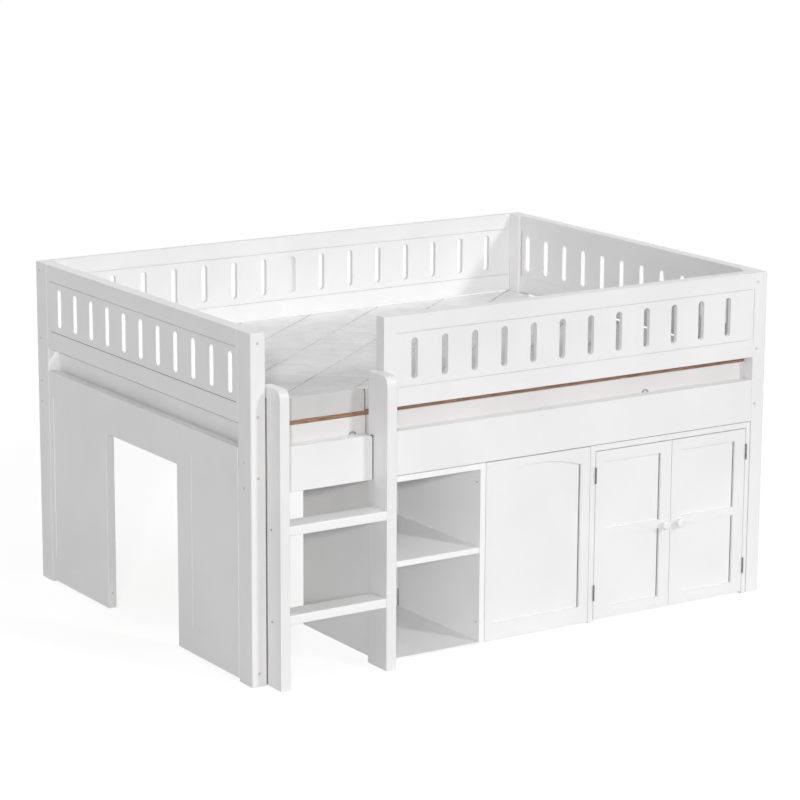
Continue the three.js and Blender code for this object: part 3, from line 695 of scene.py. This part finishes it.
def makePad(s):
    # a grid in units of the seams' spacing, skewed so that its lines run along the seams
    low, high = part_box("deck_pad")
    thickness = (high.z - low.z) * 1000
    radius = s["corner"] / 1000
    count = 2 * s["steps"] * s["reach"]
    bm = bmesh.new()
    bmesh.ops.create_grid(bm, x_segments=count, y_segments=count, size=float(s["reach"]))
    for vertex in bm.verts:
        rising = crowded(vertex.co.x, s["crowding"])
        falling = crowded(vertex.co.y, s["crowding"])
        x, y = quiltPlace(rising, falling, s)
        vertex.co = at(x, y, 0)
    for x, y in ((1, 0), (0, 1)):
        cutAway(bm, low, Vector((-x, -y, 0)), faceSlack)
        cutAway(bm, high, Vector((x, y, 0)), faceSlack)
    for vertex in bm.verts:
        x, y = roundCorner(vertex.co.x, vertex.co.y, low, high, radius)
        edge = edgeDistance(x, y, low, high, radius) * 1000
        fromLeft, fromFront = (x - footLow.x) * 1000, (y - footLow.y) * 1000
        raised = padHeight(fromLeft, fromFront, max(edge, 0.0), s, thickness)
        vertex.co = Vector((x, y, low.z + raised / 1000))
    bmesh.ops.remove_doubles(bm, verts=bm.verts, dist=s["weld"] / 1000)
    closeUnderneath(bm, low.z)
    piece = finishMesh(bm, "quilted_pad", quiltedPolyester, s["sharpAngle"])
    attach(piece, "bed_frame")
    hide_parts("deck_pad")


def beadInto(bm, centre, along, radius, s):
    # one bead of cord, thick in its middle and drawn in at both ends
    half = s["length"] / 2
    for outward in (along, -along):
        middle = centre + outward * half / 2000
        cylinderInto(bm, middle, outward, radius, half, s["sides"], s["taper"])


def seamPlaces(start, sign, pitch, low, high, q):
    # places along every seam of one family, with the distance from each to the pad's edge
    left, right = inBed(low)[0] + q["edgeRoll"], inBed(high)[0] - q["edgeRoll"]
    for seam in range(-q["reach"], q["reach"] + 1):
        x = left
        while x < right:
            y = start + seam * q["spacing"] + sign * q["slope"] * x
            place = at(x, y, 0)
            edge = edgeDistance(place.x, place.y, low, high, q["corner"] / 1000) * 1000
            yield x, y, edge
            x += pitch


def makeStitches(s, q):
    low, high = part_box("deck_pad")
    thickness = (high.z - low.z) * 1000
    front, back = inBed(low)[1] + s["margin"], inBed(high)[1] - s["margin"]
    bm = bmesh.new()
    families = ((1, q["risingStart"], s["rising"]), (-1, q["fallingStart"], s["falling"]))
    for sign, start, thread in families:
        along = Vector((1, sign * q["slope"], 0)).normalized()
        for x, y, edge in seamPlaces(start, sign, s["pitch"] * along.x, low, high, q):
            if front < y < back and edge > q["edgeRoll"]:
                raised = padHeight(x, y, edge, q, thickness) + thread["lift"]
                centre = at(x, y, 0)
                centre.z = low.z + raised / 1000
                beadInto(bm, centre, along, thread["thread"], s)
    piece = finishMesh(bm, "pad_stitches", polyesterThread)
    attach(piece, "bed_frame")


makePad(quilt)
makeStitches(stitch, quilt)
print("stage 5: pad quilted")


# Turned knobs. Each step of the profile is a share of the radius, and a share of the reach
# measured from the door.
knob = {"steps": 32, "subdivide": 1, "sharpAngle": 60.0,
        "profile": [(0.0, 0.0), (0.56, 0.0), (0.56, 0.05), (0.44, 0.12), (0.40, 0.28), (0.42, 0.40),
                    (0.55, 0.50), (0.80, 0.56), (0.96, 0.63), (1.0, 0.72), (0.97, 0.82), (0.86, 0.91),
                    (0.66, 0.965), (0.36, 0.992), (0.0, 1.0)]}


def makeKnob(nodeName, s):
    low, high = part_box(nodeName)
    radius = (high.z - low.z) / 2
    centre = (low + high) / 2
    reach = high.y - low.y
    points = [Vector((centre.x, high.y - along * reach, centre.z + out * radius))
              for out, along in s["profile"]]
    bm = bmesh.new()
    spinProfile(bm, points, centre, Vector((0, 1, 0)), s["steps"])
    piece = finishMesh(bm, nodeName + "_turned", lacquerOnBoard, s["sharpAngle"])
    smooth = piece.modifiers.new("rounder", "SUBSURF")
    smooth.levels = s["subdivide"]
    smooth.render_levels = s["subdivide"]
    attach(piece, bodyOf(nodeName))
    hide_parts(nodeName)


for side in ("left", "right"):
    makeKnob(side + "_door_knob", knob)
print("stage 6: knobs turned")


# Butt hinges: knuckles on a pin, and the leaf on the cabinet's side; mm, and the rims are the
# edges that turn by more than rimAngle, in degrees.
hinge = {"knuckles": 5, "knuckleGap": 0.5, "barrel": 2.95, "pin": 1.6, "pinShorter": 0.6, "rim": 0.25,
         "rimSegments": 2, "rimAngle": 57.0, "steps": 24}


def leafInto(bm, nodeName, behind):
    # the leaf is what the solid holds behind its barrel
    leaf = mergedCopy(nodeName, easing)
    cutAway(leaf, Vector((0, behind, 0)), Vector((0, 1, 0)), weldDistance, True)
    bmesh.ops.holes_fill(leaf, edges=leaf.edges, sides=0)
    mesh = bpy.data.meshes.new("leaf")
    leaf.to_mesh(mesh)
    leaf.free()
    bm.from_mesh(mesh)
    bpy.data.meshes.remove(mesh)


def makeHinge(side, level, s):
    nodeName = side + "_hinge_" + level
    low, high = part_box(nodeName)
    pinX, pinY = next(j["pos_m"][:2] for j in frame["joints"] if j["name"] == side + "_door_hinge")
    upward = Vector((0, 0, 1))
    height = (high.z - low.z) * 1000
    knuckle = height / s["knuckles"]
    bm = bmesh.new()
    for i in range(s["knuckles"]):
        middle = Vector((pinX, pinY, low.z + (i + 0.5) * knuckle / 1000))
        cylinderInto(bm, middle, upward, s["barrel"], knuckle - s["knuckleGap"], s["steps"])
    rims = [e for e in bm.edges if e.calc_face_angle(0.0) > math.radians(s["rimAngle"])]
    roundEdges(bm, rims, s["rim"], s["rimSegments"])
    middle = Vector((pinX, pinY, (low.z + high.z) / 2))
    cylinderInto(bm, middle, upward, s["pin"], height - s["pinShorter"], s["steps"])
    leafInto(bm, nodeName, pinY + s["barrel"] / 1000)
    piece = finishMesh(bm, nodeName + "_knuckles", hingeSteel)
    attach(piece, "bed_frame")
    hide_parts(nodeName)


for side in ("left", "right"):
    for level in ("lower", "upper"):
        makeHinge(side, level, hinge)
print("stage 7: hinges hung")


# Bolts and screws have a flat head with a round socket, and the rails' bolts a wide one, so that
# only a ring of the head is left; mm.
bolt = {"radius": 4.0, "proud": 0.5, "socket": 2.3, "socketDepth": 1.6, "ease": 0.3, "segments": 2,
        "steps": 24}
screw = {"radius": 3.2, "proud": 0.4, "socket": 1.5, "socketDepth": 1.0, "ease": 0.25, "segments": 2,
         "steps": 20}
ringBolt = {"radius": 15.0, "proud": 3.0, "socket": 10.5, "socketDepth": 7.0, "ease": 0.6,
            "segments": 2, "steps": 32}


def headOf(bm, before, outward):
    # the largest of the new faces that lie furthest out
    made = [f for f in bm.faces if f not in before]
    return max(made, key=lambda f: (round(f.calc_center_median().dot(outward), 6), f.calc_area()))


def boltInto(bm, place, outward, s):
    before = set(bm.faces)
    sunk = s["socketDepth"]
    middle = place + outward * (s["proud"] - sunk) / 2000
    cylinderInto(bm, middle, outward, s["radius"], s["proud"] + sunk, s["steps"])
    roundEdges(bm, list(headOf(bm, before, outward).edges), s["ease"], s["segments"])
    head = headOf(bm, before, outward)
    bmesh.ops.inset_region(bm, faces=[head], thickness=(s["radius"] - s["ease"] - s["socket"]) / 1000,
                           use_even_offset=True)
    socket = bmesh.ops.extrude_face_region(bm, geom=[head])["geom"]
    moved = [v for v in socket if isinstance(v, bmesh.types.BMVert)]
    bmesh.ops.translate(bm, verts=moved, vec=-outward * sunk / 1000)
    bmesh.ops.delete(bm, geom=[head], context="FACES_ONLY")
    # the socket's faces take the near-black material, painted shade in the recess
    for face in socket:
        if isinstance(face, bmesh.types.BMFace):
            face.material_index = 1


def makeBolts(name, places, outward, s):
    bm = bmesh.new()
    for place in places:
        boltInto(bm, place, outward, s)
    piece = finishMesh(bm, name, boltNickel)
    piece.data.materials.append(socketShade)
    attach(piece, "bed_frame")


toFront = Vector((0, -1, 0))
toLeft = Vector((-1, 0, 0))
toBack = Vector((0, 1, 0))
toRight = Vector((1, 0, 0))
# mm in the bed's own frame: x and the heights on the posts' fronts, y and the heights on their
# outer sides; the left front post has one bolt more, near its foot
postBolts = {"leftX": 24.5, "fromRight": 40.0, "frontZ": [1083.0, 854.0, 664.0], "footZ": 43.0,
             "backY": 1432.0, "sideZ": [1086.0, 852.0, 702.0, 629.0],
             "nearFrontY": 44.0, "nearFrontZ": [708.0, 627.0]}
# y in the bed's own frame, and mm under the tread's top
treadScrews = {"ladder_tread_1": (-30.0, 26.0), "ladder_tread_2": (-26.0, 16.0)}
# mm in the bed's own frame: a screw in the rear jamb of the doorway, the bolts in the front rail
# and the caps in the bookcase's right side
jambScrew = {"x": 15.0, "y": 960.0, "z": 60.0}
railBolts = {"x": [388.0, 1530.0], "z": 743.0}
bookcaseCaps = {"y": 20.0, "z": [538.0, 72.0]}


def mirrored(places):
    # the same places on the right end, turned half round
    return [Vector((footLow.x + rightHigh.x - place.x, footLow.y + backHigh.y - place.y, place.z))
            for place in places]


def boltPosts(s):
    front = [at(s["leftX"], 0, z) for z in s["frontZ"] + [s["footZ"]]]
    front += [at(bedLength - s["fromRight"], 0, z) for z in s["frontZ"]]
    left = [at(0, s["backY"], z) for z in s["sideZ"]]
    left += [at(0, s["nearFrontY"], z) for z in s["nearFrontZ"]]
    makeBolts("front_post_bolts", front, toFront, bolt)
    makeBolts("back_post_bolts", mirrored(front), toBack, bolt)
    makeBolts("left_end_bolts", left, toLeft, bolt)
    makeBolts("right_end_bolts", mirrored(left), toRight, bolt)


def screwTreads(s):
    for side, corner, outward in (("left", 0, toLeft), ("right", 1, toRight)):
        face = inBed(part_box("ladder_stile_" + side)[corner])[0]
        places = [at(face, y, bedBox(tread)[1][2] - below) for tread, (y, below) in s.items()]
        makeBolts("tread_screws_" + side, places, outward, screw)


boltPosts(postBolts)
screwTreads(treadScrews)
jambPlaces = [at(jambScrew["x"], jambScrew["y"], jambScrew["z"])]
makeBolts("doorway_bolt_left", jambPlaces, toFront, screw)
makeBolts("doorway_bolt_right", mirrored(jambPlaces), toBack, screw)
railFace = bedBox("front_rail")[0][1]
railPlaces = [at(x, railFace, railBolts["z"]) for x in railBolts["x"]]
makeBolts("front_rail_bolts", railPlaces, toFront, ringBolt)
innerFace = bedBox("bookcase_side_right")[0][0]
capPlaces = [at(innerFace, bookcaseCaps["y"], z) for z in bookcaseCaps["z"]]
makeBolts("bookcase_caps", capPlaces, toLeft, screw)


# the small nickelled bracket that holds the bookcase to its back, low in the left corner; mm
bracket = {"left": 842.0, "width": 16.0, "thickness": 5.0, "low": 8.0, "high": 68.0, "ease": 0.6,
           "segments": 2}


def makeBracket(s):
    wall = bedBox("bookcase_back")[0][1]
    right = s["left"] + s["width"]
    bm = bmesh.new()
    boxInto(bm, at(s["left"], wall - s["thickness"], s["low"]), at(right, wall, s["high"]))
    easeAll(bm, s)
    piece = finishMesh(bm, "bookcase_bracket", boltNickel)
    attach(piece, "bed_frame")


makeBracket(bracket)
print("stage 8: bolts, screws and bracket fixed")


# Dark strips that paint the shadow at the bottom of a joint as a dark line; mm. Each strip lies
# sunk under the faces beside it and clear of the joint's sides. A joint's width, depth and ends
# are its own; the ends are measured inwards from the joint's foot and head.
joint = {"sunk": 1.3, "clear": 0.1, "reveal": 4.0, "fieldDepth": 9.0, "stripDepth": 4.0,
         "doorStile": {"left_door": 43.0, "right_door": 44.0},
         "doorFields": [(47.0, 285.0), (314.0, 545.0)], "deskStile": 35.0, "deskField": (62.0, 540.0),
         "fieldEnd": 1.0,
         "leftStile": {"width": 2.5, "depth": 20.0, "foot": 4.0, "head": 36.0},
         "bayApron": {"depth": 12.0, "foot": 1.0, "head": 1.0},
         "bayRetainer": {"width": 3.4, "depth": 10.0, "foot": 0.0, "head": 2.0},
         "underBatten": {"width": 2.4, "proud": 0.5, "foot": 20.0},
         "guardEnd": {"outer": 1.1, "inner": 2.9, "front": 3.0, "back": 8.0, "foot": 62.0,
                      "head": 56.0},
         "cabinetSide": {"width": 1.9, "depth": 10.0, "foot": 2.0, "head": 2.0},
         "guardGroove": {"height": 61.0, "width": 2.4, "from": 1.0, "to": 3.9, "front": 6.0,
                         "back": 21.0}}


# one piece of dark strips, painted shadow in the joints
def makeJointShadows(name, body, boxes):
    bm = bmesh.new()
    for left, right, front, back, low, high in boxes:
        boxInto(bm, at(left, front, low), at(right, back, high))
    piece = finishMesh(bm, name, jointPaintedShadow)
    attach(piece, body)


def revealBox(nodeName, stile, low, high, s):
    # a dark strip that paints the shadow in the open joint between a recessed field and the stile at
    # its right
    nodeLow, nodeHigh = bedBox(nodeName)
    right = nodeHigh[0] - stile
    front = nodeLow[1] + s["fieldDepth"] + s["sunk"]
    return (right - s["reveal"] + s["clear"], right - s["clear"], front, front + s["stripDepth"],
            low + s["fieldEnd"], high - s["fieldEnd"])


# painted shadows in the reveals of the doors and of the desk panel
def doorReveals(s):
    for nodeName, stile in s["doorStile"].items():
        boxes = [revealBox(nodeName, stile, low, high, s) for low, high in s["doorFields"]]
        makeJointShadows(nodeName + "_reveal_shadows", nodeName, boxes)
    deskBox = revealBox("desk_end_panel", s["deskStile"], *s["deskField"], s)
    makeJointShadows("desk_panel_reveal_shadow", "desk", [deskBox])


def strip(left, right, face, low, high, own, s):
    # a dark strip that paints the shadow in a joint between two boards, behind their common face
    return left, right, face + s["sunk"], face + own["depth"], low + own["foot"], high - own["head"]


def frameJoints(s):
    clear = s["clear"]
    own = s["leftStile"]
    postEdge = bedBox("post_front_left")[1][0]
    stileTop = bedBox("ladder_stile_left")[1][2]
    boxes = [strip(postEdge + clear, postEdge + own["width"], 0, 0, stileTop, own, s)]

    apronLow, apronHigh = bedBox("ladder_bay_apron")
    stileEdge = bedBox("ladder_stile_right")[0][0]
    boxes.append(strip(apronHigh[0] + clear, stileEdge - clear, apronLow[1], apronLow[2], apronHigh[2],
                       s["bayApron"], s))

    own = s["bayRetainer"]
    low, high = bedBox("ladder_bay_retainer")
    boxes.append(strip(high[0] + clear, high[0] + own["width"], low[1], low[2], high[2], own, s))

    own = s["underBatten"]
    railFront = bedBox("front_rail")[0][1]
    battenUnder = bedBox("front_slat_batten")[0][2]
    boxes.append((stileEdge - own["width"], stileEdge - clear, railFront - own["proud"],
                  railFront - clear, apronHigh[2] - own["foot"], battenUnder))

    own = s["guardEnd"]
    low, high = bedBox("front_guard")
    boxes.append((high[0] - own["inner"], high[0] - own["outer"], own["front"], own["back"],
                  low[2] + own["foot"], high[2] - own["head"]))

    own = s["cabinetSide"]
    high = bedBox("cabinet_side_right")[1]
    boxes.append(strip(high[0] - own["width"], high[0] - clear, 0, 0, high[2], own, s))

    own = s["guardGroove"]
    low, high = bedBox("left_guard")
    middle = low[2] + own["height"]
    half = own["width"] / 2 - clear
    boxes.append((own["from"], own["to"], low[1] + own["front"], high[1] - own["back"], middle - half,
                  middle + half))
    makeJointShadows("frame_joint_shadows", "bed_frame", boxes)


doorReveals(joint)
frameJoints(joint)
print("stage 9: joints darkened")


# Casters: a tyre of so much tread on a dished hub, in mm. The shoulder's steps are in from the
# tyre's side and down from its tread; the hub has a boss round its bore, a dish at each side
# and a lip that carries the tyre, a little in from the tyre's sides.
wheel = {"tread": 5.0, "shoulder": [(0.0, 2.4), (0.9, 0.9), (2.4, 0.25)], "bore": 4.6, "boss": 3.5,
         "bossFoot": 4.4, "dish": 3.2, "lip": 1.8, "lipFoot": 2.6, "lipIn": 0.4, "steps": 48}


def turnedRing(name, nodeName, half, middle, material, s):
    # half is the left side of the ring's section, (x, radius) from the wheel's middle
    low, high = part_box(nodeName)
    centre = (low + high) / 2
    section = half + middle + [(-x, radius) for x, radius in reversed(half)]
    points = [Vector((centre.x + x / 1000, centre.y, centre.z + radius / 1000))
              for x, radius in section]
    bm = bmesh.new()
    spinProfile(bm, points, centre, Vector((1, 0, 0)), s["steps"], True)
    piece = finishMesh(bm, name, material)
    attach(piece, nodeName)
    return piece


def makeWheel(nodeName, s):
    low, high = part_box(nodeName)
    radius = (high.z - low.z) * 500
    side = -(high.x - low.x) * 500
    rim = radius - s["tread"]
    bore = s["bore"]
    shoulder = [(side + inward, radius - down) for inward, down in s["shoulder"]]
    tyre = turnedRing(nodeName + "_tyre", nodeName, [(side, rim)] + shoulder, [(0, radius)],
                      mouldedRubber, s)
    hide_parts(nodeName)
    dish, lip = side + s["dish"], side + s["lipIn"]
    hub = [(side, bore), (side, bore + s["boss"]), (dish, bore + s["bossFoot"]),
           (dish, rim - s["lipFoot"]), (lip, rim - s["lip"]), (lip, rim)]
    turnedRing(nodeName + "_hub", nodeName, hub, [], mouldedNylon, s)


for end in ("front", "rear"):
    for side in ("left", "right"):
        makeWheel("caster_wheel_" + end + "_" + side, wheel)
        easedBoard("caster_fork_" + end + "_" + side, zincPlated)
print("stage 10: casters fitted")


# The floor, the backdrop and the light. The suns' angles are in degrees, and a wide one is a
# soft light.
studio = {"floorSize": 60.0, "floorTone": 0.75, "ambient": 0.22, "shadowTone": 0.25, "glow": 0.85}
suns = {"keyLight": {"azimuth": 25, "elevation": 27, "strength": 0.94, "angle": 8},
        "fillLight": {"azimuth": -33, "elevation": 16, "strength": 1.26, "angle": 4},
        "sideLight": {"azimuth": -80, "elevation": 20, "strength": 0.2, "angle": 90},
        "topLight": {"azimuth": 30, "elevation": 72, "strength": 0.42, "angle": 60},
        "backLight": {"azimuth": 150, "elevation": 32, "strength": 0.3, "angle": 50}}


def lookedAt(tree):
    # 1 where the camera, a gloss or a clear material looks at the background itself
    path = addNode(tree, "LightPath")
    seen = addNode(tree, "Math", {"operation": "MAXIMUM"},
                   {0: path.outputs["Is Camera Ray"], 1: path.outputs["Is Glossy Ray"]})
    seen = addNode(tree, "Math", {"operation": "MAXIMUM"},
                   {0: seen.outputs[0], 1: path.outputs["Is Transmission Ray"]})
    return seen.outputs[0]


def makeWorld(s):
    world = bpy.data.worlds.new("studio")
    bpy.context.scene.world = world
    world.use_nodes = True
    tree = world.node_tree
    tree.nodes.clear()
    strength = addNode(tree, "MapRange", {"To Min": s["ambient"], "To Max": 1.0},
                       {"Value": lookedAt(tree)})
    back = addNode(tree, "Background", {"Color": (1, 1, 1, 1)},
                   {"Strength": strength.outputs["Result"]})
    addNode(tree, "OutputWorld", links={"Surface": back.outputs["Background"]})


def floorPainted(tree, place, s):
    # looked at, it is white with a pale shadow; as a bounce for the light it is a mid grey
    plain = addNode(tree, "BsdfDiffuse", {"Color": [s["floorTone"]] * 3 + [1.0]})
    dim = addNode(tree, "BsdfDiffuse", {"Color": [s["shadowTone"]] * 3 + [1.0]})
    glow = addNode(tree, "Emission", {"Color": (1, 1, 1, 1), "Strength": s["glow"]})
    lit = addNode(tree, "AddShader", links={0: dim.outputs[0], 1: glow.outputs[0]})
    return addNode(tree, "MixShader",
                   links={0: lookedAt(tree), 1: plain.outputs[0], 2: lit.outputs[0]})


def makeFloor(s):
    bm = bmesh.new()
    bmesh.ops.create_grid(bm, x_segments=1, y_segments=1, size=s["floorSize"] / 2)
    finishMesh(bm, "floor", makeMaterial("studioFloor", floorPainted, s))


def makeSun(name, s):
    data = bpy.data.lights.new(name, "SUN")
    data.energy = s["strength"]
    data.angle = math.radians(s["angle"])
    lamp = bpy.data.objects.new(name, data)
    towards = outwardFrom(math.radians(s["azimuth"]), math.radians(s["elevation"]))
    lamp.rotation_euler = towards.to_track_quat("Z", "Y").to_euler()
    bpy.context.scene.collection.objects.link(lamp)


makeWorld(studio)
makeFloor(studio)
for name, settings in suns.items():
    makeSun(name, settings)
bpy.context.scene.view_settings.view_transform = "Standard"
print("stage 11: studio lit")
